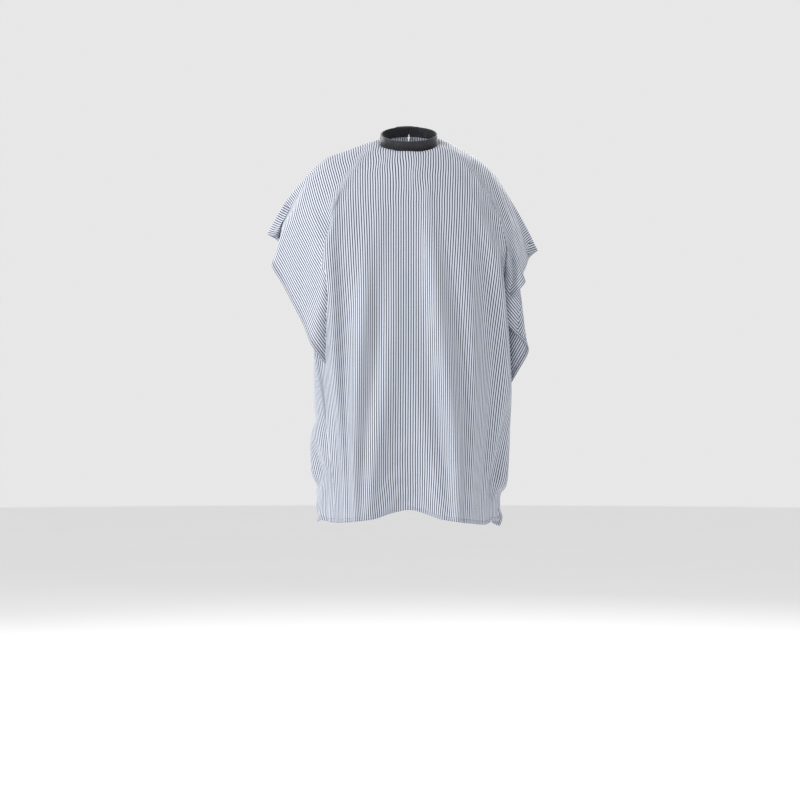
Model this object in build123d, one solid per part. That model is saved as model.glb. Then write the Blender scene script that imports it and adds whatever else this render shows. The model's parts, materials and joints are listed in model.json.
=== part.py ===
# Barber's cape: a one-piece woven sheet with a bound neck, hanging as it does on a
# standing customer.  Units are millimetres.  +Z is up and the front faces -Y, so +X is
# the wearer's left.  The origin is the centre of the neckband, which leans forward.
# Cloth pieces are drawn thicker than real cloth so that each is a sound solid.
from build123d import *
import math
import os

os.makedirs("parts", exist_ok=True)

# ---- neckband -------------------------------------------------------------------------
NECK_RADIUS = 61.5          # inside of the band, round the customer's neck
BAND_HEIGHT = 24.5          # height of the finished band
BAND_PLY = 0.8              # one layer of the band's black strip
CORE_THICKNESS = 1.2        # room between the two layers
NECK_SEAM = 8.0             # how far the cape's neck edge goes up inside the band
NECK_TILT = 22.0            # the band sits lower at the front, in degrees
BAND_GAP = 2.0              # width of the open gap between the band's two ends

# ---- closure tab and its press studs ------------------------------------------------
TAB_PLY = 0.8               # one layer of the tab's strip
TAB_CORE = 0.8              # stiffener inside the tab
TAB_HEIGHT = 20.0           # height of the tab
TAB_START = 87.5            # angle of the fold line, degrees from +X towards +Y
TAB_FOLD_GAP = 0.7          # bare gap at the fold line
TAB_END_REACH = 11.5        # from the stud's centre to the end of the tab
TAB_CORE_MARGIN = 2.0       # from the stiffener's edge to the tab's edge
ROOT_LENGTH = 20.0          # sewn length of the tab's fixed root
ROOT_RAMP = 9.0             # length over which the root rises from the band
HINGE_OFFSET = 0.2          # fold axis, outside the tab's outer face
TAB_SWING = 120             # how far the tab peels open, in degrees

SOCKET_COUNT = 6
SOCKET_FIRST = 96.5         # angle of the socket nearest the opening
SOCKET_PITCH = 16.8         # along the band, centre to centre
STUD_IN_SOCKET = 2          # which socket the stud is fastened in
SOCKET_RADIUS = 5.6
SOCKET_PROUD = 1.7          # how far a socket stands off the band
SOCKET_MOUTH = 2.4          # radius of the socket's mouth
SOCKET_BORE_DEPTH = 2.2
SOCKET_SHANK = 3.1          # radius of the tube through the band's outer layer
RING_RADIUS = 4.6           # fixing ring hidden inside the band
RING_THICKNESS = 0.6
STUD_RADIUS = 5.6
STUD_FLANGE = 1.0
STUD_NUB_RADIUS = 1.9
STUD_NUB_LENGTH = 1.9
STUD_SHANK = 1.5            # radius of the rivet through the tab
CAP_RADIUS = 6.2
CAP_HEIGHT = 1.6
FACE_GAP = 0.4              # between the stud's flange and the socket's face

# ---- hanging cloth --------------------------------------------------------------------
CLOTH = 2.0                 # drawn thickness of the cloth
CLOTH_GAP = 0.2             # between the band's lower edge and the hanging cloth
HEM_WIDTH = 10.0            # turned and stitched hem
FACING_WIDTH = 14.0         # turned edge along the back opening
FRONT_LENGTH = 907.0        # band's centre to the lowest point of the front hem
FRONT_RISE = 72.0           # how far the front hem is drawn up between its two folds
BACK_LENGTH = 500.0         # band's centre to the lowest point of the back hem
BACK_RISE = 92.0            # how far the back hem is drawn up at the middle
BACK_CORNERS = 330.0        # from one low corner of the back hem to the other
WING_DROP_RIGHT = 229.0     # band's centre to the top of the right side opening
WING_DROP_LEFT = 286.0      # the same on the wearer's left
FOLD_DEPTH = 26.0           # depth of the front folds at the hem
FOLD_SPACING = 261.0        # from one forward fold to the other
FOLD_TOP = -110.0           # the folds begin below this height
SLIT_TOP = BAND_GAP         # width of the back opening at the band
SLIT_BOTTOM = 46.0          # and at the back hem

# Outline of the hanging cloth, from the band down: height, lean in degrees, half width,
# shift towards the wearer's left, reach to the front and back, squareness of the curve.
LEVELS = [
    (-22, 17, 116, -6, 85, 88, 2.0),
    (-50, 10, 182, -14, 104, 106, 2.1),
    (-90, 5, 220, -15, 122, 122, 2.2),
    (-140, 0, 246, -16, 138, 132, 2.3),
    (-200, 0, 277, -19, 150, 140, 2.3),
    (-280, 0, 293, -14, 160, 147, 2.3),
    (-420, 0, 266, -18, 178, 154, 2.3),
    (-600, 0, 232, 2, 194, 154, 2.5),
    (-760, 0, 204, 0, 207, 154, 2.6),
    (-960, 0, 212, -3, 222, 154, 2.6),
]
# Lines running from the neck to the hem: where they meet the hem, in degrees from the
# middle of the back, and the first of them at the neck, where they are evenly spaced.
BACK_COLUMNS = (13, 22, 31, 40, 49)
BACK_CORNER = 58
UNDERARM_BACK = (66, 74, 82)
WING = 90
UNDERARM_FRONT = (93, 97, 101, 105, 109, 113, 116)
FRONT_CORNER = 118
FRONT_COLUMNS = (125, 132, 140, 148, 156, 164, 172)
FIRST_AT_NECK = 20
# Lines running round the wearer, as shares of the way from the neck to the hem.
ROWS = (0, 0.012, 0.03, 0.055, 0.09, 0.14, 0.2, 0.28, 0.37, 0.47, 0.58, 0.7, 0.85, 1)

# ---- worked out from the sizes above -------------------------------------------------
band_outer = NECK_RADIUS + 2 * BAND_PLY + CORE_THICKNESS
core_inner = NECK_RADIUS + BAND_PLY
core_outer = core_inner + CORE_THICKNESS
half_height = BAND_HEIGHT / 2
gap_angle = math.degrees(BAND_GAP / NECK_RADIUS)
band_sweep = 360 - gap_angle
band_start = 90 + gap_angle / 2
socket_step = math.degrees(SOCKET_PITCH / band_outer)
socket_angles = [SOCKET_FIRST + i * socket_step for i in range(SOCKET_COUNT)]
stud_angle = socket_angles[STUD_IN_SOCKET - 1]
socket_face = band_outer + SOCKET_PROUD
stud_face = socket_face + FACE_GAP
tab_inner = stud_face + STUD_FLANGE
tab_thickness = 2 * TAB_PLY + TAB_CORE
tab_outer = tab_inner + tab_thickness
fold_half = math.degrees(TAB_FOLD_GAP / 2 / tab_outer)
tab_end = stud_angle + math.degrees(TAB_END_REACH / tab_outer)
hinge_radius = tab_outer + HINGE_OFFSET
tab_low = half_height - TAB_HEIGHT
tab_middle = half_height - TAB_HEIGHT / 2
lean = Rot(X=NECK_TILT)

pieces = {}


def polar(radius, angle):
    """A point in the plane of the neckband."""
    turn = math.radians(angle)
    return radius * math.cos(turn), radius * math.sin(turn)


def ring_sector(inner, outer, low, high, start, sweep):
    """A strip of rectangular section bent round the neck's axis."""
    section = Plane.XZ * Pos((inner + outer) / 2, (low + high) / 2)
    profile = section * Rectangle(outer - inner, high - low)
    return Rot(Z=start) * revolve(profile, Axis.Z, sweep)


def facing_out(angle, height):
    """A frame on the neck's axis whose Z axis points out of the band at one angle."""
    outward = polar(1, angle)
    along = polar(1, angle + 90)
    return Plane(origin=(0, 0, height), x_dir=(*along, 0), z_dir=(*outward, 0))


def disc(angle, height, radius, low, high):
    """A round piece on the band, from one distance off the neck's axis to another."""
    return facing_out(angle, height) * Pos(0, 0, (low + high) / 2) * Cylinder(radius, high - low)


# ---- neckband: one strip folded over its stiffener, open at the bottom ----------------
band = ring_sector(NECK_RADIUS, band_outer, -half_height, half_height, band_start, band_sweep)
band_pocket = ring_sector(core_inner, core_outer, -half_height, half_height - BAND_PLY,
                          band_start, band_sweep)
stiffener = ring_sector(core_inner, core_outer, -half_height + NECK_SEAM,
                        half_height - BAND_PLY, band_start, band_sweep)
neck_edge = ring_sector(core_inner, core_outer, -half_height, -half_height + NECK_SEAM,
                        band_start, band_sweep)
band -= band_pocket

# ---- press-stud sockets along the wearer's right side of the opening ------------------
socket_seat = math.sqrt(band_outer**2 - SOCKET_RADIUS**2)
ring_face = core_outer - (core_outer - math.sqrt(core_outer**2 - RING_RADIUS**2))
for number, angle in enumerate(socket_angles, start=1):
    flange = disc(angle, tab_middle, SOCKET_RADIUS, socket_seat, socket_face)
    shank = disc(angle, tab_middle, SOCKET_SHANK, ring_face, socket_seat)
    fixing_ring = disc(angle, tab_middle, RING_RADIUS, ring_face - RING_THICKNESS, ring_face)
    mouth = disc(angle, tab_middle, SOCKET_MOUTH, socket_face - SOCKET_BORE_DEPTH, socket_face)
    socket_blank = flange + shank
    rim = socket_blank.edges().filter_by(GeomType.CIRCLE).sort_by(SortBy.RADIUS)[-2:]
    socket_body = fillet(rim.sort_by_distance(facing_out(angle, tab_middle).origin)[-1:], 0.5)
    band -= socket_blank
    band -= fixing_ring
    stiffener -= socket_blank
    stiffener -= fixing_ring
    pieces[f"socket_{number}"] = lean * (socket_body - mouth)
    pieces[f"socket_ring_{number}"] = lean * fixing_ring

pieces["neckband"] = lean * band
pieces["neckband_stiffener"] = lean * stiffener


# ---- closure tab: a sewn root, a fold line, and the free end with its stud -------------
def root_rise(angle):
    """How far the root stands off the band: none where it is sewn, full at the fold."""
    travel = math.radians(TAB_START - fold_half - angle) * band_outer
    share = min(1.0, max(0.0, (ROOT_LENGTH - travel) / ROOT_RAMP - 1.0))
    return (tab_inner - band_outer) * share * share * (3 - 2 * share)


root_start = TAB_START - math.degrees(ROOT_LENGTH / band_outer)
root_stop = TAB_START - fold_half
ROOT_STEPS = 16
root_angles = [root_start + (root_stop - root_start) * i / ROOT_STEPS for i in range(ROOT_STEPS + 1)]
root_inside = [polar(band_outer + root_rise(a), a) for a in root_angles]
root_outside = [polar(band_outer + root_rise(a) + tab_thickness, a) for a in root_angles]
root_outline = Spline(*root_inside)
root_outline += Line(root_inside[-1], root_outside[-1])
root_outline += Spline(*reversed(root_outside))
root_outline += Line(root_outside[0], root_inside[0])
root = Pos(0, 0, tab_low) * extrude(make_face(root_outline), TAB_HEIGHT)
root -= ring_sector(NECK_RADIUS, band_outer, -half_height, half_height, 0, 360)
pieces["closure_tab_root"] = lean * root

tab_sweep = tab_end - TAB_START - fold_half
tab = ring_sector(tab_inner, tab_outer, tab_low, half_height, TAB_START + fold_half, tab_sweep)
end_round = TAB_HEIGHT / 2
tab_face = facing_out(stud_angle, tab_middle)
end_reach = tab_outer * math.sin(math.radians(tab_end - stud_angle))
tab_outline = Pos(end_reach - end_round, 0) * Circle(end_round)
tab_outline += Pos(end_reach - end_round - TAB_HEIGHT, 0) * Rectangle(2 * TAB_HEIGHT, TAB_HEIGHT)
tab &= tab_face * extrude(tab_outline, 2 * tab_outer)
core = ring_sector(tab_inner + TAB_PLY, tab_outer - TAB_PLY, tab_low + TAB_CORE_MARGIN,
                   half_height - TAB_CORE_MARGIN, TAB_START + 2 * fold_half + 1.5, tab_sweep)
core_outline = Pos(end_reach - end_round, 0) * Circle(end_round - TAB_CORE_MARGIN)
core_outline += Pos(end_reach - end_round - TAB_HEIGHT, 0) * Rectangle(2 * TAB_HEIGHT, TAB_HEIGHT)
core &= tab_face * extrude(core_outline, 2 * tab_outer)

cap_seat = math.sqrt(tab_outer**2 - CAP_RADIUS**2)
stud = disc(stud_angle, tab_middle, STUD_RADIUS, stud_face, tab_inner)
stud += disc(stud_angle, tab_middle, STUD_NUB_RADIUS, stud_face - STUD_NUB_LENGTH, stud_face)
stud += disc(stud_angle, tab_middle, STUD_SHANK, tab_inner, cap_seat)
cap = disc(stud_angle, tab_middle, CAP_RADIUS, cap_seat, cap_seat + CAP_HEIGHT)
core -= stud
tab = tab - core - stud - cap
core -= cap
cap_rims = cap.edges().filter_by(GeomType.CIRCLE).sort_by_distance((0, 0, tab_middle))
cap = fillet(cap_rims[-1:], 1.0)
pieces["closure_tab"] = lean * tab
pieces["tab_stiffener"] = lean * core
pieces["stud"] = lean * stud
pieces["stud_cap"] = lean * cap


# ---- hanging cloth: its outer surface --------------------------------------------------
neck_plane = -(half_height + CLOTH_GAP) / math.cos(math.radians(NECK_TILT))
neck_offset = (half_height + CLOTH_GAP) * math.tan(math.radians(NECK_TILT))
neck_reach = core_inner + CLOTH_GAP
neck_level = (neck_plane, NECK_TILT, neck_reach, 0, neck_reach - neck_offset,
              neck_reach + neck_offset, 2.0)
levels = [neck_level] + LEVELS


def level_at(height):
    """The outline's sizes at any height, on smooth curves through the levels."""
    i = 0
    while i < len(levels) - 2 and height < levels[i + 1][0]:
        i += 1
    before, above, below, after = (levels[max(0, min(k, len(levels) - 1))] for k in range(i - 1, i + 3))
    span = below[0] - above[0]
    t = (height - above[0]) / span
    sizes = []
    for k in range(1, len(above)):
        slope_above = (below[k] - before[k]) / (below[0] - before[0]) * span
        slope_below = (after[k] - above[k]) / (after[0] - above[0]) * span
        sizes.append((2 * t**3 - 3 * t**2 + 1) * above[k] + (t**3 - 2 * t**2 + t) * slope_above
                     + (3 * t**2 - 2 * t**3) * below[k] + (t**3 - t**2) * slope_below)
    return sizes


def fold(x, height):
    """How far the front cloth comes forward, where it hangs in two folds."""
    share = min(1.0, max(0.0, (FOLD_TOP - height) / (FOLD_TOP + FRONT_LENGTH)))
    return -FOLD_DEPTH * share * math.cos(2 * math.pi * x / FOLD_SPACING)


def on_cloth(turn, height):
    """The point of the cloth's outside at an angle from the middle of the back."""
    tilt, half_width, shift, front, back, square = level_at(height)
    c, s = math.cos(math.radians(90 + turn)), math.sin(math.radians(90 + turn))
    x = half_width * math.copysign(abs(c) ** (2 / square), c)
    y = (back if s > 0 else front) * math.copysign(abs(s) ** (2 / square), s)
    y -= fold(x, height) * max(0.0, -s)
    slope = math.radians(tilt)
    return Vector(shift + x, y * math.cos(slope), height + y * math.sin(slope))


def outward(turn, height):
    """The direction square to the cloth, away from the wearer."""
    round_way = on_cloth(turn + 0.5, height) - on_cloth(turn - 0.5, height)
    down_way = on_cloth(turn, height - 1) - on_cloth(turn, height)
    return down_way.cross(round_way).normalized()


# ---- hanging cloth: where its edges run --------------------------------------------------
def hem_height(turn):
    """Height of the hem at an angle from the middle of the back."""
    side = turn if turn <= 180 else 360 - turn
    drop = WING_DROP_RIGHT if turn <= 180 else WING_DROP_LEFT
    x = on_cloth(turn, -BACK_LENGTH if side < WING else -FRONT_LENGTH).X
    if side >= FRONT_CORNER:
        return -FRONT_LENGTH + FRONT_RISE * (1 + math.cos(2 * math.pi * x / FOLD_SPACING)) / 2
    if side <= BACK_CORNER:
        return -BACK_LENGTH + BACK_RISE * (1 + math.cos(2 * math.pi * x / BACK_CORNERS)) / 2
    if side >= WING:
        share = (side - WING) / (FRONT_CORNER - WING)
        corner = hem_height(FRONT_CORNER if turn <= 180 else 360 - FRONT_CORNER)
        return -drop + (corner + drop) * (share + share**6) / 2
    share = (WING - side) / (WING - BACK_CORNER)
    corner = hem_height(BACK_CORNER if turn <= 180 else 360 - BACK_CORNER)
    return -drop + (corner + drop) * share


def degree_length(turn, height):
    """Length of one degree of the outline, in millimetres."""
    return (on_cloth(turn + 0.5, height) - on_cloth(turn - 0.5, height)).length


def slit_angle(height, extra):
    """Angle from the middle of the back to the opening's edge, or a facing's width past it."""
    share = min(1.0, max(0.0, height / -BACK_LENGTH))
    across = (SLIT_TOP + (SLIT_BOTTOM - SLIT_TOP) * share) / 2 + extra
    tilt, half_width, shift, front, back, square = level_at(height)
    return math.degrees(math.asin((across / half_width) ** (square / 2)))


right_half = [*BACK_COLUMNS, BACK_CORNER, *UNDERARM_BACK, WING, *UNDERARM_FRONT, FRONT_CORNER,
              *FRONT_COLUMNS]
left_half = [360 - turn for turn in reversed(right_half)]
columns = [None, None] + right_half + [180] + left_half + [None, None]
last = len(columns) - 1
at_neck = [FIRST_AT_NECK + (360 - 2 * FIRST_AT_NECK) * (k - 2) / (last - 4) for k in range(last + 1)]


def edge_turn(column, height):
    """The angle of one line from neck to hem, which leans only beside the opening."""
    if columns[column] is not None:
        return columns[column]
    extra = FACING_WIDTH if column in (1, last - 1) else 0
    angle = slit_angle(height, extra)
    return angle if column < 2 else 360 - angle


def hem_point(column):
    """Angle and height of the hem at one line."""
    height = hem_height(columns[column] or 5)
    return edge_turn(column, height), height


def hem_stitch_point(column):
    """Angle and height on the line of stitching, a hem's width in from the edge."""
    turn, height = hem_point(column)
    if columns[column] is None:
        return edge_turn(column, height + HEM_WIDTH), height + HEM_WIDTH
    scale = degree_length(turn, height)
    before, after = hem_point(column - 1), hem_point(column + 1)
    along = Vector((after[0] - before[0]) * scale, after[1] - before[1]).normalized()
    return turn - along.Y * HEM_WIDTH / scale, height + along.X * HEM_WIDTH


def grid_point(column, row):
    """Angle and height of one crossing of the lines; the row past the last is the hem."""
    if row == len(ROWS):
        return hem_point(column)
    stitch_turn, stitch_height = hem_stitch_point(column)
    height = neck_plane + (stitch_height - neck_plane) * ROWS[row]
    if columns[column] is None:
        return edge_turn(column, height), height
    share = row / (len(ROWS) - 1)
    return at_neck[column] + (stitch_turn - at_neck[column]) * share, height


def sheet(first_column, last_column, first_row, last_row):
    """A closed solid: the cloth between two lines down and two lines round."""
    outside = {}
    inside = {}
    for column in range(first_column, last_column + 1):
        for row in range(first_row, last_row + 1):
            turn, height = grid_point(column, row)
            outside[column, row] = on_cloth(turn, height)
            inside[column, row] = on_cloth(turn, height) - outward(turn, height) * CLOTH
    facets = []

    def cell(corners, points, measured):
        """Two facets, split on the shorter diagonal of the measured points."""
        a, b, c, d = (measured[k] for k in corners)
        turned = (a - c).length > (b - d).length
        a, b, c, d = (points[k] for k in (corners[1:] + corners[:1] if turned else corners))
        facets.append(Face(Wire.make_polygon([a, b, c])))
        facets.append(Face(Wire.make_polygon([a, c, d])))

    for i in range(first_column, last_column):
        for j in range(first_row, last_row):
            corners = [(i, j), (i + 1, j), (i + 1, j + 1), (i, j + 1)]
            cell(corners, outside, outside)
            cell(corners[::-1], inside, outside)
    rim = [(i, first_row) for i in range(first_column, last_column)]
    rim += [(last_column, j) for j in range(first_row, last_row)]
    rim += [(i, last_row) for i in range(last_column, first_column, -1)]
    rim += [(first_column, j) for j in range(last_row, first_row, -1)]
    for here, there in zip(rim, rim[1:] + rim[:1]):
        edge = [outside[there], outside[here], inside[here], inside[there]]
        cell([0, 1, 2, 3], edge, edge)
    return Solid(Shell(facets))


stitch_row = len(ROWS) - 1
hem_row = len(ROWS)
back_right = columns.index(BACK_CORNER)
front_right = columns.index(FRONT_CORNER)
front_left = columns.index(360 - FRONT_CORNER)
back_left = columns.index(360 - BACK_CORNER)
pieces["neck_edge"] = lean * neck_edge
pieces["cape_cloth"] = sheet(1, last - 1, 0, stitch_row)
pieces["opening_facing_right"] = sheet(0, 1, 0, stitch_row)
pieces["opening_facing_left"] = sheet(last - 1, last, 0, stitch_row)
pieces["back_hem_right"] = sheet(0, back_right, stitch_row, hem_row)
pieces["side_hem_right"] = sheet(back_right, front_right, stitch_row, hem_row)
pieces["front_hem"] = sheet(front_right, front_left, stitch_row, hem_row)
pieces["side_hem_left"] = sheet(front_left, back_left, stitch_row, hem_row)
pieces["back_hem_left"] = sheet(back_left, last, stitch_row, hem_row)

for name, piece in pieces.items():
    print(name, piece.is_valid, round(piece.volume, 1), len(piece.solids()))
    export_step(piece, f"parts/{name}.step")
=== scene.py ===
import json
import math

import bmesh
import bpy
import numpy as np
from mathutils import Matrix, Vector
from mathutils.bvhtree import BVHTree
from mathutils.interpolate import poly_3d_calc


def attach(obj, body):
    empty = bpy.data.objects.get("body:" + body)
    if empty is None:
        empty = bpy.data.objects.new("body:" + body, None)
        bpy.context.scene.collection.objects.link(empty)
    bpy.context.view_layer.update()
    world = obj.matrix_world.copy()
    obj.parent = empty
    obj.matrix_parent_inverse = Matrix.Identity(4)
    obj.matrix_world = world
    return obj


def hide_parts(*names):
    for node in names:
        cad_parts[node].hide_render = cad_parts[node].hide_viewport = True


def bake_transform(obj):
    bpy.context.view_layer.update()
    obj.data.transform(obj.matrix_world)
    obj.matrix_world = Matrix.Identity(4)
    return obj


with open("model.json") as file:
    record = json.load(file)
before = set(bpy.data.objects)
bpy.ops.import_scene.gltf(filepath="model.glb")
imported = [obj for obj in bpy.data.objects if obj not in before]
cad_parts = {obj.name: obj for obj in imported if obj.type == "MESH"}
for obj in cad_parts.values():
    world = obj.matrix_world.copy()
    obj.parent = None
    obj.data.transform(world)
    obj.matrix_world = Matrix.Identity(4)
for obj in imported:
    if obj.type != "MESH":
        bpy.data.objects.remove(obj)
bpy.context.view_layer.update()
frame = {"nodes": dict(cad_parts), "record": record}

# ---- neckband -------------------------------------------------------------------------
# A black satin-faced strip, folded over a stiffener and sewn round the cape's neck edge.
# It leans forward on the neck, and its two ends nearly meet at the back.
NECK = frame["record"]["mounts"][0]
neck_axis = Vector(NECK["axis"]).normalized()
lean = Vector((0, 0, 1)).rotation_difference(neck_axis).to_matrix().to_4x4()
band_inside = NECK["dims"]["r_mm"] / 1000
band_half = NECK["dims"]["length_mm"] / 2000
BAND_THICK = 0.0028
BAND_FOLD = 0.0011
BAND_GAP = 0.002
band_outside = band_inside + BAND_THICK
gap_turn = BAND_GAP / band_inside
FULL_TURN = 2 * math.pi


def new_piece(name, bm, material):
    """A mesh object from a bmesh, with its material."""
    mesh = bpy.data.meshes.new(name)
    bm.to_mesh(mesh)
    bm.free()
    mesh.polygons.foreach_set("use_smooth", [True] * len(mesh.polygons))
    piece = bpy.data.objects.new(name, mesh)
    bpy.context.scene.collection.objects.link(piece)
    mesh.materials.append(material)
    return piece


class Nodes:
    """A short way to write the nodes of one material."""

    def __init__(self, name):
        self.material = bpy.data.materials.new(name)
        self.material.use_nodes = True
        self.tree = self.material.node_tree
        self.shader = self.tree.nodes["Principled BSDF"]

    def add(self, kind, links=(), **settings):
        """A node with its settings, and links into its inputs."""
        node = self.tree.nodes.new(kind)
        for key, value in settings.items():
            setattr(node, key, value)
        for index, source in links:
            self.tree.links.new(source, node.inputs[index])
        return node

    def math(self, operation, a, b=None, c=None):
        """The result of one sum on sockets or plain numbers."""
        node = self.add("ShaderNodeMath", operation=operation)
        for index, value in enumerate((a, b, c)):
            if value is None:
                continue
            if isinstance(value, (int, float)):
                node.inputs[index].default_value = value
            else:
                self.tree.links.new(value, node.inputs[index])
        return node.outputs[0]

    def noise(self, vector, scale, detail=3.0, roughness=0.5):
        node = self.add("ShaderNodeTexNoise", links=[(0, vector)])
        node.inputs["Scale"].default_value = scale
        node.inputs["Detail"].default_value = detail
        node.inputs["Roughness"].default_value = roughness
        return node.outputs["Fac"]

    def mix(self, share, first, second):
        """A colour between two, which are sockets or (r, g, b)."""
        node = self.add("ShaderNodeMix", data_type="RGBA", links=[(0, share)])
        for index, value in ((6, first), (7, second)):
            if isinstance(value, tuple):
                node.inputs[index].default_value = (*value, 1)
            else:
                self.tree.links.new(value, node.inputs[index])
        return node.outputs[2]

    def ramp(self, value, low, high, to_low, to_high):
        node = self.add("ShaderNodeMapRange", links=[(0, value)], clamp=True)
        for index, number in enumerate((low, high, to_low, to_high), start=1):
            node.inputs[index].default_value = number
        return node.outputs[0]

    def bump(self, height, distance, strength=1.0, under=None):
        node = self.add("ShaderNodeBump", links=[("Height", height)])
        node.inputs["Distance"].default_value = distance
        node.inputs["Strength"].default_value = strength
        if under is not None:
            self.tree.links.new(under, node.inputs["Normal"])
        return node.outputs[0]

    def set(self, name, value):
        """One of the shader's own sockets: a number, a colour or a link."""
        socket = self.shader.inputs[name]
        if isinstance(value, tuple):
            socket.default_value = (*value, 1)
        elif isinstance(value, (int, float)):
            socket.default_value = value
        else:
            self.tree.links.new(value, socket)


def satin(name, base, worn):
    """Black satin-faced strip: fine ribs along the weft, soft creases, worn a little paler."""
    n = Nodes(name)
    place = n.add("ShaderNodeTexCoord").outputs["Object"]
    parts = n.add("ShaderNodeSeparateXYZ", links=[(0, place)])
    turn = n.math("ARCTAN2", parts.outputs[1], parts.outputs[0])
    ribs = n.math("SINE", n.math("MULTIPLY", turn, 900.0))
    floats = n.math("SINE", n.math("MULTIPLY", parts.outputs[2], 14000.0))
    weave = n.math("MULTIPLY", ribs, floats)
    creases = n.noise(place, 140.0, 4.0, 0.6)
    wear = n.ramp(n.noise(place, 60.0, 5.0, 0.65), 0.5, 0.75, 0.0, 1.0)
    n.set("Base Color", n.mix(wear, base, worn))
    n.set("Roughness", n.ramp(creases, 0.3, 0.7, 0.34, 0.5))
    n.set("Sheen Weight", 0.25)
    n.set("Sheen Roughness", 0.35)
    fine = n.bump(weave, 0.00005, 0.5)
    n.set("Normal", n.bump(creases, 0.0006, 0.35, fine))
    return n.material


band_satin = satin("band_satin", (0.010, 0.010, 0.013), (0.026, 0.026, 0.031))


def fold_round(low, high, inside, outside, radius, steps=5):
    """Points round a flat strip's section, in the plane of X and Z, with folded edges."""
    corners = ((inside + radius, low + radius, 180), (outside - radius, low + radius, 270),
               (outside - radius, high - radius, 0), (inside + radius, high - radius, 90))
    points = []
    for x, z, first in corners:
        for i in range(steps + 1):
            angle = math.radians(first + 90 * i / steps)
            points.append(Vector((x + radius * math.cos(angle), 0, z + radius * math.sin(angle))))
    return points


band = bmesh.new()
BAND_STEPS = 200
folded = fold_round(-band_half, band_half, band_inside, band_outside, BAND_FOLD)
outline = band.faces.new([band.verts.new(point) for point in folded])
bmesh.ops.rotate(band, verts=band.verts, cent=(0, 0, 0),
                 matrix=Matrix.Rotation(math.pi / 2 + gap_turn / 2, 3, "Z"))
bmesh.ops.spin(band, geom=[outline, *outline.edges, *outline.verts], cent=(0, 0, 0),
               axis=(0, 0, 1), angle=FULL_TURN - gap_turn, steps=BAND_STEPS, use_merge=False)
bmesh.ops.remove_doubles(band, verts=band.verts, dist=1e-6)
bmesh.ops.recalc_face_normals(band, faces=band.faces)
bmesh.ops.transform(band, matrix=lean, verts=band.verts)
neckband = new_piece("neckband_strip", band, band_satin)
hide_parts("neckband")
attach(neckband, "cape")


# Stitching: a thread drawn down at each needle hole, so every stitch is a small raised
# grain on the cloth. The band and the tab are sewn in black, the hems in white.
STITCH_LENGTH = 0.0030
STITCH_PITCH = 0.0038
THREAD = 0.00042


def thread(name, color):
    """Twisted polyester thread."""
    n = Nodes(name)
    place = n.add("ShaderNodeTexCoord").outputs["Object"]
    twist = n.noise(place, 5200.0, 2.0)
    n.set("Base Color", n.mix(twist, tuple(0.8 * c for c in color), color))
    n.set("Roughness", n.ramp(twist, 0.3, 0.7, 0.45, 0.65))
    n.set("Normal", n.bump(twist, 0.0001, 0.5))
    return n.material


def sew(bm, places):
    """One grain of thread at each place: its middle, the way it runs and the way it stands."""
    for middle, along, up in places:
        across = up.cross(along).normalized()
        turn = Matrix((along.normalized(), across, up.normalized())).transposed().to_4x4()
        size = Matrix.Diagonal((STITCH_LENGTH / 2, THREAD / 2, THREAD / 2, 1))
        bmesh.ops.create_icosphere(bm, subdivisions=1, radius=1,
                                   matrix=Matrix.Translation(middle) @ turn @ size)


def round_band(radius, height, first, last, way_out):
    """Places for stitches round the neck's axis, from one angle to another."""
    count = max(1, round(radius * abs(last - first) / STITCH_PITCH))
    for i in range(count):
        angle = first + (last - first) * (i + 0.5) / count
        out = Vector((math.cos(angle), math.sin(angle), 0))
        yield (lean @ (out * radius + Vector((0, 0, height))),
               lean.to_3x3() @ Vector((-out.y, out.x, 0)), lean.to_3x3() @ (out * way_out))


BAND_STITCH_IN = 0.0022
band_seam = bmesh.new()
seam_height = -band_half + BAND_STITCH_IN
seam_ends = (math.pi / 2 + gap_turn, math.pi / 2 + FULL_TURN - gap_turn)
for radius, way_out in ((band_outside, 1), (band_inside, -1)):
    sew(band_seam, round_band(radius, seam_height, *seam_ends, way_out))
black_thread = thread("black_thread", (0.03, 0.03, 0.034))
band_stitches = new_piece("neckband_stitching", band_seam, black_thread)
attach(band_stitches, "cape")


# ---- stiffeners -----------------------------------------------------------------------
# Bonded interlining, inside the neckband and inside the tab: pale pressed fibres.
def interlining():
    n = Nodes("interlining")
    place = n.add("ShaderNodeTexCoord").outputs["Object"]
    fibres = n.noise(place, 900.0, 5.0, 0.7)
    n.set("Base Color", n.mix(fibres, (0.42, 0.42, 0.40), (0.62, 0.62, 0.59)))
    n.set("Roughness", 0.9)
    n.set("Normal", n.bump(fibres, 0.0002, 0.6))
    return n.material


def repaint(node_names, material):
    """A CAD node keeps its shape and takes a better material."""
    for node_name in node_names:
        node = frame["nodes"][node_name]
        if not node.data.materials:
            node.data.materials.append(material)
        for slot in node.material_slots:
            slot.material = material


repaint(["neckband_stiffener", "tab_stiffener"], interlining())


# ---- press studs ----------------------------------------------------------------------
# Nickel-plated brass: six sockets with their fixing rings, one stud and its cap. Handling
# has left fine scratches, and the plating is a little duller where fingers don't reach.
def nickel():
    n = Nodes("nickel_plate")
    place = n.add("ShaderNodeTexCoord").outputs["Object"]
    dull = n.noise(place, 420.0, 4.0, 0.6)
    scratches = n.noise(place, 3800.0, 2.0, 0.5)
    n.set("Base Color", n.mix(dull, (0.50, 0.49, 0.47), (0.72, 0.71, 0.69)))
    n.set("Metallic", 1.0)
    rubbed = n.math("ADD", dull, n.math("MULTIPLY", scratches, 0.3))
    n.set("Roughness", n.ramp(rubbed, 0.4, 0.9, 0.18, 0.42))
    n.set("Normal", n.bump(scratches, 0.00002, 0.4))
    return n.material


metal_nodes = [name for name in frame["nodes"] if name.startswith("socket") or name in ("stud", "stud_cap")]
repaint(metal_nodes, nickel())


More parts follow.
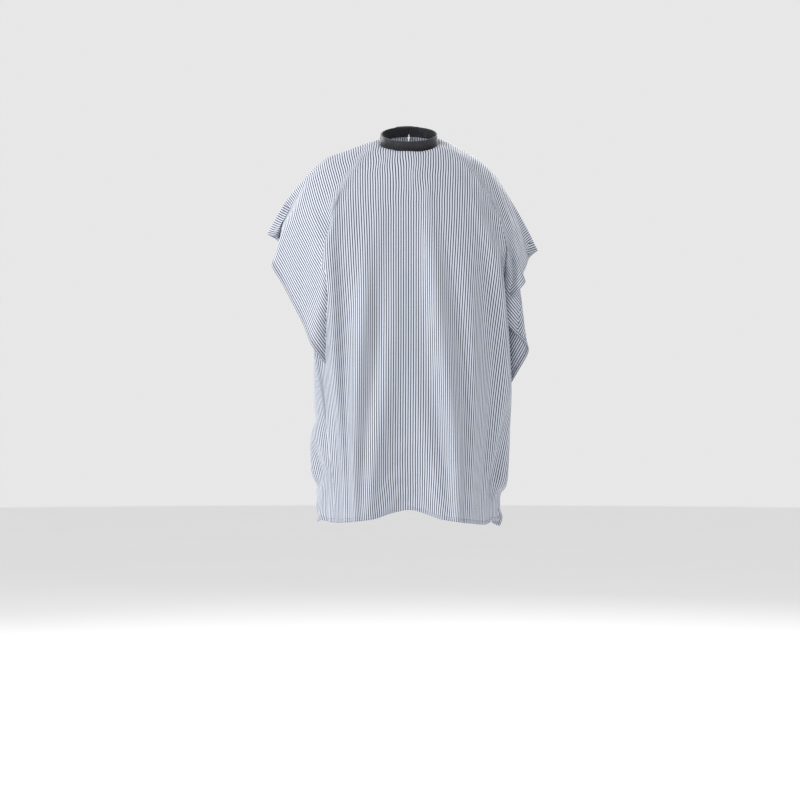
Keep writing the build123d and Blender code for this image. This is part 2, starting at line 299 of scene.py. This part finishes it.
# ---- cape cloth -----------------------------------------------------------------------
# One rectangle of light woven polyester with a round neck hole and a slit down the back.
# It is cut flat, sewn to the band, and then hangs under its own weight.
HALF_WIDTH = 0.425
FRONT = 0.905
BACK = 0.430
HEM = 0.010
CUT_RADIUS = 0.064
CELLS_ACROSS = 60
CELLS_ALONG = 95
CLOTH = 0.0006
BELOW_BAND = 0.0011
cell = 2 * (HALF_WIDTH - HEM) / CELLS_ACROSS
seam_radius = band_inside + BAND_THICK / 2
seam_centre = -neck_axis * (band_half + BELOW_BAND)

# Outline of the wearer's side of the cloth, from the band down: height, lean in degrees,
# half width, shift, reach to the front and back, squareness of the curve.
OUTLINE = np.array([
    (-0.0134, 22, 0.0629, 0.000, 0.0578, 0.0680, 2.0),
    (-0.022, 17, 0.116, -0.006, 0.085, 0.088, 2.0),
    (-0.050, 10, 0.182, -0.014, 0.104, 0.106, 2.1),
    (-0.090, 5, 0.220, -0.015, 0.122, 0.122, 2.2),
    (-0.140, 0, 0.246, -0.016, 0.138, 0.132, 2.3),
    (-0.200, 0, 0.277, -0.019, 0.150, 0.140, 2.3),
    (-0.280, 0, 0.293, -0.014, 0.160, 0.147, 2.3),
    (-0.420, 0, 0.266, -0.018, 0.178, 0.154, 2.3),
    (-0.600, 0, 0.232, 0.002, 0.194, 0.154, 2.5),
    (-0.760, 0, 0.204, 0.000, 0.207, 0.154, 2.6),
    (-0.960, 0, 0.212, -0.003, 0.222, 0.154, 2.6),
])
FOLD_SPACING = 0.261
FOLD_DEPTH = 0.026
FOLD_TOP = -0.110
FOLD_FALL = 0.797


def outline_at(turn, height, inset=(0, 0, 0)):
    """Points of the outline at angles from the middle of the back, and at heights."""
    sizes = [np.interp(-height, -OUTLINE[:, 0], OUTLINE[:, k]) for k in range(1, 7)]
    tilt, half, shift, front, back, square = sizes
    c, s = np.cos(np.radians(90 + turn)), np.sin(np.radians(90 + turn))
    x = (half - inset[0]) * np.sign(c) * np.abs(c) ** (2 / square)
    reach = np.where(s > 0, back - inset[2], front - inset[1])
    y = reach * np.sign(s) * np.abs(s) ** (2 / square)
    fall = np.clip((FOLD_TOP - height) / FOLD_FALL, 0, 1)
    y = y + FOLD_DEPTH * fall * np.cos(2 * np.pi * x / FOLD_SPACING) * np.maximum(0, -s)
    lean_angle = np.radians(tilt)
    return np.stack([shift + x, y * np.cos(lean_angle), height + y * np.sin(lean_angle)], -1)


# Where the hem hangs, by the angle of the cut about the neck: the turn round the wearer,
# and the height. The wing on the wearer's left hangs lower than the other.
front_corner = 180 - math.degrees(math.atan2(HALF_WIDTH, FRONT))
back_corner = math.degrees(math.atan2(HALF_WIDTH, BACK))
FRONT_CORNER_TURN = 104
BACK_CORNER_TURN = 58
WING_DROP = {"right": 0.229, "left": 0.286}
HEM_FRONT, HEM_FRONT_RISE = -0.893, 0.067
HEM_BACK, HEM_BACK_RISE, BACK_CORNERS = -0.500, 0.092, 0.330
CORNER_FRONT, CORNER_BACK = -0.860, -0.490


def hem_place(cut_angle, side):
    """The turn and the height at which one point of the hem hangs."""
    turn = float(np.interp(cut_angle, [0, back_corner, 90, front_corner, 180],
                           [0, BACK_CORNER_TURN, 90, FRONT_CORNER_TURN, 180]))
    drop = WING_DROP[side]
    if cut_angle >= front_corner:
        x = float(outline_at(np.array(turn), np.array(HEM_FRONT))[0])
        return turn, HEM_FRONT + HEM_FRONT_RISE * (1 + math.cos(FULL_TURN * x / FOLD_SPACING)) / 2
    if cut_angle <= back_corner:
        x = float(outline_at(np.array(turn), np.array(HEM_BACK))[0])
        return turn, HEM_BACK + HEM_BACK_RISE * (1 + math.cos(FULL_TURN * x / BACK_CORNERS)) / 2
    if cut_angle >= 90:
        share = (cut_angle - 90) / (front_corner - 90)
        return turn, -drop + (CORNER_FRONT + drop) * share ** 1.2
    share = (90 - cut_angle) / (90 - back_corner)
    return turn, -drop + (CORNER_BACK + drop) * share


LINES, STOPS = 181, 60


def hanging_lines(side):
    """Lines of the cloth from the neck to the hem, one for each degree, evenly divided."""
    lines = np.zeros((LINES, STOPS, 3))
    way = np.linspace(0, 1, 300)
    for i in range(LINES):
        cut_angle = 180 * i / (LINES - 1)
        turn, height = hem_place(cut_angle, side)
        top = OUTLINE[0, 0]
        turns = cut_angle + (turn - cut_angle) * way
        points = outline_at(turns if side == "right" else 360 - turns, top + (height - top) * way**2)
        length = np.r_[0, np.cumsum(np.linalg.norm(np.diff(points, axis=0), axis=1))]
        even = np.linspace(0, length[-1], STOPS)
        for k in range(3):
            lines[i, :, k] = np.interp(even, length, points[:, k])
    return lines


steer = {side: hanging_lines(side) for side in ("right", "left")}


def hanging_place(u, v, side):
    """Where a point of the flat cut is steered to."""
    angle = math.degrees(math.atan2(abs(u), -v))
    to_side = HALF_WIDTH / max(1e-9, abs(math.sin(math.radians(angle))))
    to_end = (BACK if angle < 90 else FRONT) / max(1e-9, abs(math.cos(math.radians(angle))))
    reach = min(to_side, to_end)
    share = min(1.0, max(0.0, (math.hypot(u, v) - CUT_RADIUS) / (reach - CUT_RADIUS)))
    a, b = angle / 180 * (LINES - 1), share * (STOPS - 1)
    i, j = min(LINES - 2, int(a)), min(STOPS - 2, int(b))
    a, b = a - i, b - j
    grid = steer[side]
    return Vector(grid[i, j] * (1 - a) * (1 - b) + grid[i + 1, j] * a * (1 - b)
                  + grid[i, j + 1] * (1 - a) * b + grid[i + 1, j + 1] * a * b)


def flat_line(index, cells, low, high):
    """Place of one line of the cut: even cells, with a hem's width at each end."""
    if index == 0:
        return low
    if index == cells + 2:
        return high
    return low + HEM + (high - low - 2 * HEM) * (index - 1) / cells


cut = bmesh.new()
bmesh.ops.create_grid(cut, x_segments=CELLS_ACROSS + 2, y_segments=CELLS_ALONG + 2, size=0.5)
for vert in cut.verts:
    i = round((vert.co.x + 0.5) * (CELLS_ACROSS + 2))
    j = round((vert.co.y + 0.5) * (CELLS_ALONG + 2))
    vert.co = (flat_line(i, CELLS_ACROSS, -HALF_WIDTH, HALF_WIDTH),
               -flat_line(CELLS_ALONG + 2 - j, CELLS_ALONG, -BACK, FRONT), 0)
hole = [f for f in cut.faces if f.calc_center_median().length < CUT_RADIUS - 0.2 * cell]
bmesh.ops.delete(cut, geom=hole, context="FACES")
for vert in cut.verts:
    if vert.co.length < CUT_RADIUS + 0.5 * cell:
        vert.co = vert.co.normalized() * CUT_RADIUS
slit = [e for e in cut.edges if all(abs(v.co.x) < 1e-6 and v.co.y > CUT_RADIUS - 1e-4 for v in e.verts)]
bmesh.ops.split_edges(cut, edges=slit)
bmesh.ops.recalc_face_normals(cut, faces=cut.faces)
if sum(f.normal.z for f in cut.faces) < 0:
    bmesh.ops.reverse_faces(cut, faces=cut.faces)
flat_map = cut.loops.layers.uv.new("flat")
cut.verts.ensure_lookup_table()
cut.verts.index_update()
flat_places = [(v.co.x, -v.co.y) for v in cut.verts]
sides = ["left" if sum(f.calc_center_median().x for f in v.link_faces) > 0 else "right" for v in cut.verts]
for face in cut.faces:
    for loop in face.loops:
        loop[flat_map].uv = flat_places[loop.vert.index]

SLIT_OPEN = 0.022
SLIT_GAP = 0.001
SLIT_GAP_CUT = 0.0005
SLIT_GAP_NECK = 0.0008
neck_ring = CUT_RADIUS + 0.3 * cell
steered = []
for vert, (u, v), side in zip(cut.verts, flat_places, sides):
    away = 1 if side == "left" else -1
    place = hanging_place(u, v, side)
    on_slit = abs(u) < 1e-6 and v < 0
    if on_slit:
        place.x += away * (SLIT_GAP + SLIT_OPEN * max(0, -v - CUT_RADIUS) / BACK)
    start = lean @ Vector((u + away * SLIT_GAP_CUT * on_slit, -v, 0)) + seam_centre
    if math.hypot(u, v) < neck_ring:
        start = lean @ (Vector((u, -v, 0)).normalized() * seam_radius) + seam_centre
        start.x += away * SLIT_GAP_NECK * on_slit
        place = start
    steered.append(place)
    vert.co = start

STRIPE_PITCH = 0.0056
STRIPE_SHARE = 0.40
YARN = 0.0005


def weave_and_stripes(name, white, navy, pucker):
    """Plain-woven polyester with dark yarn pinstripes, on the flat cut's own map."""
    n = Nodes(name)
    flat = n.add("ShaderNodeUVMap", uv_map="flat").outputs[0]
    place = n.add("ShaderNodeTexCoord").outputs["Object"]
    parts = n.add("ShaderNodeSeparateXYZ", links=[(0, flat)])
    u, v = parts.outputs[0], parts.outputs[1]
    wander = n.math("MULTIPLY", n.math("SUBTRACT", n.noise(flat, 900.0, 2.0), 0.5), 0.00022)
    phase = n.math("FRACT", n.math("MULTIPLY", n.math("ADD", u, wander), 1 / STRIPE_PITCH))
    off_middle = n.math("ABSOLUTE", n.math("SUBTRACT", phase, 0.5))
    stripe = n.ramp(off_middle, STRIPE_SHARE / 2 - 0.03, STRIPE_SHARE / 2 + 0.03, 1.0, 0.0)
    yarn = n.noise(flat, 1400.0, 3.0, 0.6)
    cloud = n.noise(place, 7.0, 4.0, 0.55)
    ground = n.mix(n.ramp(cloud, 0.35, 0.65, 0.0, 1.0), white, tuple(0.965 * c for c in white))
    ground = n.mix(n.math("MULTIPLY", yarn, 0.25), ground, tuple(0.8 * c for c in white))
    dark = n.mix(yarn, navy, tuple(min(1.0, 2.1 * c) for c in navy))
    n.set("Base Color", n.mix(stripe, ground, dark))
    n.set("Roughness", n.ramp(yarn, 0.3, 0.7, 0.5, 0.68))
    n.set("Sheen Weight", 0.12)
    n.set("Sheen Roughness", 0.45)
    warp = n.math("SINE", n.math("MULTIPLY", u, FULL_TURN / YARN))
    weft = n.math("SINE", n.math("MULTIPLY", v, FULL_TURN / YARN))
    woven = n.bump(n.math("MULTIPLY", warp, weft), 0.00004, 0.5)
    crumple = n.noise(place, 28.0, 5.0, 0.55)
    n.set("Normal", n.bump(crumple, pucker, 0.5, woven))
    return n.material


striped = weave_and_stripes("pinstripe_cloth", (0.66, 0.70, 0.79), (0.012, 0.015, 0.034), 0.0035)
cape = new_piece("cape_cloth_draped", cut, striped)

# The drape: the cloth falls over a hidden form of the wearer's shoulders and arms while
# weak springs draw it round them. The form and the springs are then taken away.
FORM_RINGS = [
    (-0.0134, 0.008, 0.008, 0.008), (-0.022, 0.010, 0.010, 0.010), (-0.05, 0.012, 0.012, 0.012),
    (-0.09, 0.014, 0.012, 0.012), (-0.14, 0.014, 0.012, 0.012), (-0.20, 0.014, 0.012, 0.014),
    (-0.26, 0.016, 0.012, 0.018), (-0.32, 0.045, 0.012, 0.026), (-0.42, 0.075, 0.014, 0.036),
    (-0.60, 0.070, 0.016, 0.045), (-0.76, 0.050, 0.018, 0.055), (-0.96, 0.055, 0.020, 0.065),
]
FORM_POINTS = 96
NECK_FORM_RADIUS = 0.052
NECK_FORM_TOP = 0.020


def wearer_form():
    """A hidden form a little inside the outline, open at the bottom, with a neck on top."""
    bm = bmesh.new()
    turns = np.arange(FORM_POINTS) * 360 / FORM_POINTS
    neck = [lean @ Vector((-NECK_FORM_RADIUS * math.sin(math.radians(t)),
                           NECK_FORM_RADIUS * math.cos(math.radians(t)), NECK_FORM_TOP)) for t in turns]
    rings = [neck] + [outline_at(turns, np.full(FORM_POINTS, z), inset) for z, *inset in FORM_RINGS]
    loops = []
    for ring in rings:
        verts = [bm.verts.new(point) for point in ring]
        loops.append([bm.edges.new((verts[i - 1], verts[i])) for i in range(FORM_POINTS)])
    for above, below in zip(loops, loops[1:]):
        bmesh.ops.bridge_loops(bm, edges=above + below)
    bmesh.ops.recalc_face_normals(bm, faces=bm.faces)
    mesh = bpy.data.meshes.new("wearer_form")
    bm.to_mesh(mesh)
    bm.free()
    form = bpy.data.objects.new("wearer_form", mesh)
    bpy.context.scene.collection.objects.link(form)
    form.modifiers.new("collision", "COLLISION")
    form.collision.thickness_outer = 0.003
    form.collision.thickness_inner = 0.02
    form.collision.cloth_friction = 5
    return form


BACK_HOLD, FRONT_HOLD, HEM_HOLD = 0.13, 0.11, 0.34


def hold(u, v):
    """How firmly a point is steered: most at the front hem, least at the free edges."""
    edge = min(1.0, max(0.0, (abs(u) - 0.27) / 0.10))
    if v < 0:
        return BACK_HOLD * (1 - 0.75 * edge)
    low = min(1.0, max(0.0, (v - 0.45) / 0.40))
    wing = min(1.0, max(0.0, (abs(u) - 0.20) / 0.12)) * min(1.0, max(0.0, (0.40 - v) / 0.15))
    return (FRONT_HOLD + HEM_HOLD * low * low) * (1 - 0.6 * edge) * (1 - 0.6 * wing)


DRAPE_FRAMES = 60
STEER_FRAMES = 36


def drape(piece):
    """Runs the cloth and gives its last shape, once subdivided."""
    form = wearer_form()
    piece.shape_key_add(name="cut")
    hung = piece.shape_key_add(name="hung")
    pins = piece.vertex_groups.new(name="held")
    for i, (u, v) in enumerate(flat_places):
        hung.data[i].co = steered[i]
        pins.add([i], 1.0 if math.hypot(u, v) < neck_ring else hold(u, v), "REPLACE")
    hung.value = 0
    hung.keyframe_insert("value", frame=1)
    hung.value = 1
    hung.keyframe_insert("value", frame=STEER_FRAMES)
    cloth = piece.modifiers.new("cloth", "CLOTH")
    settings = cloth.settings
    settings.quality = 6
    settings.mass = 0.12
    settings.tension_stiffness = settings.compression_stiffness = 25
    settings.shear_stiffness = 8
    settings.bending_stiffness = 0.5
    settings.tension_damping = settings.compression_damping = settings.shear_damping = 5
    settings.bending_damping = 0.5
    settings.air_damping = 1.5
    settings.vertex_group_mass = "held"
    settings.pin_stiffness = 1
    cloth.collision_settings.distance_min = 0.003
    cloth.collision_settings.collision_quality = 3
    cloth.collision_settings.use_self_collision = False
    cloth.point_cache.frame_end = DRAPE_FRAMES
    scene = bpy.context.scene
    scene.frame_start, scene.frame_end = 1, DRAPE_FRAMES
    for number in range(1, DRAPE_FRAMES + 1):
        scene.frame_set(number)
    finer = piece.modifiers.new("finer", "SUBSURF")
    finer.levels = finer.render_levels = 1
    shape = bpy.data.meshes.new_from_object(piece.evaluated_get(bpy.context.evaluated_depsgraph_get()))
    piece.modifiers.clear()
    piece.shape_key_clear()
    piece.animation_data_clear()
    piece.vertex_groups.clear()
    scene.frame_set(1)
    bpy.data.objects.remove(form)
    return shape


cape.data = drape(cape)
cape.data.name = "cape_cloth_draped"

# The neck edge goes up between the band's layers, where the seam holds it.
NECK_SEAM = 0.006
SMOOTH_PASSES = 4
COLLAR_REACH = 0.002
hang = bmesh.new()
hang.from_mesh(cape.data)
flat_map = hang.loops.layers.uv["flat"]
free = [v for v in hang.verts if math.hypot(*v.link_loops[0][flat_map].uv) > CUT_RADIUS + 3 * cell]
for _ in range(SMOOTH_PASSES):
    bmesh.ops.smooth_vert(hang, verts=free, factor=0.5, use_axis_x=True, use_axis_y=True, use_axis_z=True)
collar = [e for e in hang.edges if e.is_boundary
          and all(math.hypot(*loop[flat_map].uv) < CUT_RADIUS + COLLAR_REACH
                  for face in e.link_faces for loop in face.loops if loop.vert in e.verts)]
raised = bmesh.ops.extrude_edge_only(hang, edges=collar)["geom"]
for vert in raised:
    if isinstance(vert, bmesh.types.BMVert):
        vert.co += neck_axis * NECK_SEAM
hang.to_mesh(cape.data)
cape.data.polygons.foreach_set("use_smooth", [True] * len(cape.data.polygons))
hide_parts("cape_cloth", "neck_edge")
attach(cape, "cape")


# ---- hems -----------------------------------------------------------------------------
# The edges are turned under twice and stitched, a finger's width all round, with a wider
# turning down each side of the back slit.
HEM_THICK = 0.0016
FACING = cell
# The hems use the pinstripe cloth made darker all over: painted shade for the turned edges and their
# creases, with a stronger pucker bump.
shaded_puckered_hem = weave_and_stripes("hem_cloth", (0.60, 0.64, 0.73), (0.010, 0.013, 0.030), 0.0050)


def strip_of(name, wanted, nodes):
    """The part of the hanging cloth whose flat place is wanted, as a thicker strip."""
    bm = hang.copy()
    layer = bm.loops.layers.uv["flat"]
    unwanted = []
    for face in bm.faces:
        middle = sum((loop[layer].uv for loop in face.loops), Vector((0, 0))) / len(face.loops)
        if not wanted(middle.x, middle.y):
            unwanted.append(face)
    bmesh.ops.delete(bm, geom=unwanted, context="FACES")
    strip = new_piece(name, bm, shaded_puckered_hem)
    fold = strip.modifiers.new("turned_layers", "SOLIDIFY")
    fold.thickness = HEM_THICK
    fold.offset = 0
    fold.use_quality_normals = True
    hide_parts(*nodes)
    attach(strip, "cape")
    return strip


side_line = HALF_WIDTH - HEM
front_line = FRONT - HEM
back_line = -BACK + HEM
slit_top = -CUT_RADIUS - 0.004


def on_side(u, v):
    return u > side_line and back_line < v < front_line


def on_facing(u, v):
    return back_line < v < slit_top and 0 < u < FACING


hems = [
    strip_of("front_hem_turned", lambda u, v: v > front_line, ["front_hem"]),
    strip_of("side_hem_left_turned", on_side, ["side_hem_left"]),
    strip_of("side_hem_right_turned", lambda u, v: on_side(-u, v), ["side_hem_right"]),
    strip_of("back_hem_left_turned", lambda u, v: v < back_line and u > 0, ["back_hem_left"]),
    strip_of("back_hem_right_turned", lambda u, v: v < back_line and u < 0, ["back_hem_right"]),
    strip_of("opening_facing_left_turned", on_facing, ["opening_facing_left"]),
    strip_of("opening_facing_right_turned", lambda u, v: on_facing(-u, v), ["opening_facing_right"]),
]

# White stitching along the inner edge of every hem and facing, seen on both faces.
STITCH_IN = 0.0016
flat_faces = []
for face in hang.faces:
    flat_faces.append([Vector((*loop[flat_map].uv, 0)) for loop in face.loops])
corners = [corner for face in flat_faces for corner in face]
ends = np.cumsum([0] + [len(face) for face in flat_faces])
flat_polygons = [list(range(first, last)) for first, last in zip(ends, ends[1:])]
flat_tree = BVHTree.FromPolygons(corners, flat_polygons)
hang.faces.ensure_lookup_table()
hang.normal_update()


def on_cloth(u, v):
    """The place and the normal of the hanging cloth at a point of the flat cut."""
    index = flat_tree.find_nearest(Vector((u, v, 0)))[2]
    face = hang.faces[index]
    weights = poly_3d_calc(flat_faces[index], Vector((u, v, 0)))
    place = sum((w * loop.vert.co for w, loop in zip(weights, face.loops)), Vector())
    return place, face.normal.copy()


def seam(bm, start, end):
    """Stitches along a straight line of the flat cut, on the cloth's two faces."""
    count = int((Vector(end) - Vector(start)).length / STITCH_PITCH)
    for i in range(count):
        here, there = (Vector(start).lerp(Vector(end), (i + k) / count) for k in (0.25, 0.75))
        (a, up), (b, _) = on_cloth(*here), on_cloth(*there)
        if (b - a).length < 1e-5:
            continue
        for side in (1, -1):
            sew(bm, [((a + b) / 2 + up * side * HEM_THICK / 2, b - a, up * side)])


u_line = HALF_WIDTH - HEM + STITCH_IN
v_front = FRONT - HEM + STITCH_IN
v_back = -BACK + HEM - STITCH_IN
slit_line = FACING - STITCH_IN
seams = bmesh.new()
seam(seams, (-u_line, v_front), (u_line, v_front))
for way in (1, -1):
    seam(seams, (way * u_line, v_back), (way * u_line, v_front))
    seam(seams, (way * 0.002, v_back), (way * u_line, v_back))
    seam(seams, (way * slit_line, v_back), (way * slit_line, -CUT_RADIUS - 0.012))
white_thread = thread("white_thread", (0.82, 0.82, 0.84))
hem_stitches = new_piece("hem_stitching", seams, white_thread)
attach(hem_stitches, "cape")

layers = cape.modifiers.new("cloth_thickness", "SOLIDIFY")
layers.thickness = CLOTH
layers.offset = 0
hang.free()


# ---- closure tab ----------------------------------------------------------------------
# A short strip of the band's satin with a stiffener inside. Its root is sewn to the band
# on the wearer's left; its free end laps over the opening and carries the stud.
TAB_THICK = 0.0024
TAB_HEIGHT = 0.020
TAB_INSIDE = 0.0674
TAB_START = math.radians(87.5)
ROOT_LENGTH = 0.020
ROOT_RAMP = 0.009
STUD_TURN = math.radians(96.5) + 0.0168 / band_outside
TAB_REACH = 0.0115
tab_end = STUD_TURN + TAB_REACH / (TAB_INSIDE + TAB_THICK)
root_start = TAB_START - ROOT_LENGTH / band_outside
tab_low = band_half - TAB_HEIGHT
tab_middle = band_half - TAB_HEIGHT / 2
TAB_STEPS = 84


def tab_radius(angle):
    """Inner radius of the strip: on the band at the root, and clear of the studs past it."""
    travel = (TAB_START - angle) * band_outside
    share = min(1.0, max(0.0, (ROOT_LENGTH - travel) / ROOT_RAMP - 1.0))
    return band_outside + 0.0001 + (TAB_INSIDE - band_outside - 0.0001) * share * share * (3 - 2 * share)


TAB_FOLD = 0.0008
LEAST_HALF = 0.0009
round_end = TAB_HEIGHT / 2
tab = bmesh.new()
folded = fold_round(tab_low, band_half, band_outside, band_outside + TAB_THICK, TAB_FOLD, 4)
outline = tab.faces.new([tab.verts.new(point) for point in folded])
bmesh.ops.rotate(tab, verts=tab.verts, cent=(0, 0, 0), matrix=Matrix.Rotation(root_start, 3, "Z"))
bmesh.ops.spin(tab, geom=[outline, *outline.edges, *outline.verts], cent=(0, 0, 0), axis=(0, 0, 1),
               angle=tab_end - root_start, steps=TAB_STEPS, use_merge=False)
for vert in tab.verts:
    angle = math.atan2(vert.co.y, vert.co.x)
    radius = tab_radius(angle) + math.hypot(vert.co.x, vert.co.y) - band_outside
    height = vert.co.z
    from_end = (tab_end - angle) * TAB_INSIDE
    if from_end < round_end:
        half = math.sqrt(max(0.0, round_end**2 - (round_end - from_end) ** 2))
        height = tab_middle + (height - tab_middle) * max(half, LEAST_HALF) / round_end
    vert.co = (radius * math.cos(angle), radius * math.sin(angle), height)
bmesh.ops.recalc_face_normals(tab, faces=tab.faces)
if tab.calc_volume(signed=True) < 0:
    bmesh.ops.reverse_faces(tab, faces=tab.faces)
bmesh.ops.transform(tab, matrix=lean, verts=tab.verts)
closure_tab = new_piece("closure_tab_strip", tab, band_satin)
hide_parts("closure_tab_root", "closure_tab")


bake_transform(closure_tab)

# Black stitching: a box that holds the root to the band, and one row round the free end.
TAB_STITCH_IN = 0.0021
root_seam = bmesh.new()
root_outside = band_outside + 0.0001 + TAB_THICK
sewn_end = root_start + (ROOT_LENGTH - ROOT_RAMP) / band_outside
inset = TAB_STITCH_IN / band_outside
for height in (tab_low + TAB_STITCH_IN, band_half - TAB_STITCH_IN):
    sew(root_seam, round_band(root_outside, height, root_start + inset, sewn_end - inset, 1))
for angle in (root_start + inset, sewn_end - inset):
    out = Vector((math.cos(angle), math.sin(angle), 0))
    rows = round((TAB_HEIGHT - 2 * TAB_STITCH_IN) / STITCH_PITCH)
    for i in range(rows):
        height = tab_low + TAB_STITCH_IN + (TAB_HEIGHT - 2 * TAB_STITCH_IN) * (i + 0.5) / rows
        place = lean @ (out * root_outside + Vector((0, 0, height)))
        sew(root_seam, [(place, neck_axis, lean.to_3x3() @ out)])
root_stitches = new_piece("tab_root_stitching", root_seam, black_thread)
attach(root_stitches, "cape")

end_seam = bmesh.new()
tab_outside = TAB_INSIDE + TAB_THICK
straight_end = tab_end - round_end / TAB_INSIDE
free_start = math.radians(91)
for height in (tab_low + TAB_STITCH_IN, band_half - TAB_STITCH_IN):
    for radius, way_out in ((tab_outside, 1), (TAB_INSIDE, -1)):
        sew(end_seam, round_band(radius, height, free_start, straight_end, way_out))
END_STITCHES = 6
stitch_round = round_end - TAB_STITCH_IN
for i in range(END_STITCHES):
    swing = math.pi * ((i + 0.5) / END_STITCHES - 0.5)
    angle = straight_end + stitch_round * math.cos(swing) / TAB_INSIDE
    height = tab_middle + stitch_round * math.sin(swing)
    out = Vector((math.cos(angle), math.sin(angle), 0))
    along = Vector((-out.y, out.x, 0)) * -math.sin(swing) + Vector((0, 0, 1)) * math.cos(swing)
    for radius, way_out in ((tab_outside, 1), (TAB_INSIDE, -1)):
        sew(end_seam, [(lean @ (out * radius + Vector((0, 0, height))), lean.to_3x3() @ along,
                        lean.to_3x3() @ (out * way_out))])
end_stitches = new_piece("tab_end_stitching", end_seam, black_thread)
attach(end_stitches, "tab")


# ---- floor, light and camera ----------------------------------------------------------
# A plain pale floor far below the hem, where a standing wearer's feet would be, with soft
# studio light from both sides and the front.
FLOOR = -1.50
ground = bmesh.new()
bmesh.ops.create_circle(ground, cap_ends=True, segments=96, radius=14)
bmesh.ops.translate(ground, verts=ground.verts, vec=(0, 0, FLOOR))
floor_paint = Nodes("pale_floor")
floor_spot = floor_paint.add("ShaderNodeTexCoord").outputs["Object"]
floor_paint.set("Base Color", floor_paint.mix(floor_paint.noise(floor_spot, 1.5), (0.86, 0.86, 0.86),
                                              (0.88, 0.88, 0.88)))
floor_paint.set("Roughness", 0.8)
floor = new_piece("floor", ground, floor_paint.material)


def soft_light(name, place, size, power, aim=(0, 0, -0.45)):
    lamp = bpy.data.lights.new(name, "AREA")
    lamp.size = size
    lamp.energy = power
    holder = bpy.data.objects.new(name, lamp)
    bpy.context.scene.collection.objects.link(holder)
    holder.location = place
    holder.rotation_euler = (Vector(aim) - Vector(place)).to_track_quat("-Z", "Y").to_euler()


soft_light("key", (-3.4, -1.6, 1.2), 1.0, 90)
soft_light("fill", (3.0, -3.0, 0.2), 2.4, 10)
soft_light("rim", (1.2, 3.4, 1.6), 1.8, 60)
soft_light("rim_other", (-2.4, 2.6, 0.8), 1.8, 35)

world = bpy.data.worlds.new("studio")
bpy.context.scene.world = world
world.use_nodes = True
world.node_tree.nodes["Background"].inputs[0].default_value = (1, 1, 1, 1)
world.node_tree.nodes["Background"].inputs[1].default_value = 0.80
bpy.context.scene.view_settings.view_transform = "Standard"

CAMERA_AWAY = 5.0
FRAME_WIDTH = 1.816
lens = bpy.data.cameras.new("camera")
lens.sensor_width = 36
lens.lens = lens.sensor_width * CAMERA_AWAY / FRAME_WIDTH
camera = bpy.data.objects.new("camera", lens)
bpy.context.scene.collection.objects.link(camera)
camera.location = (-0.0204, -CAMERA_AWAY, -0.592)
camera.rotation_euler = (math.pi / 2, 0, 0)
bpy.context.scene.camera = camera
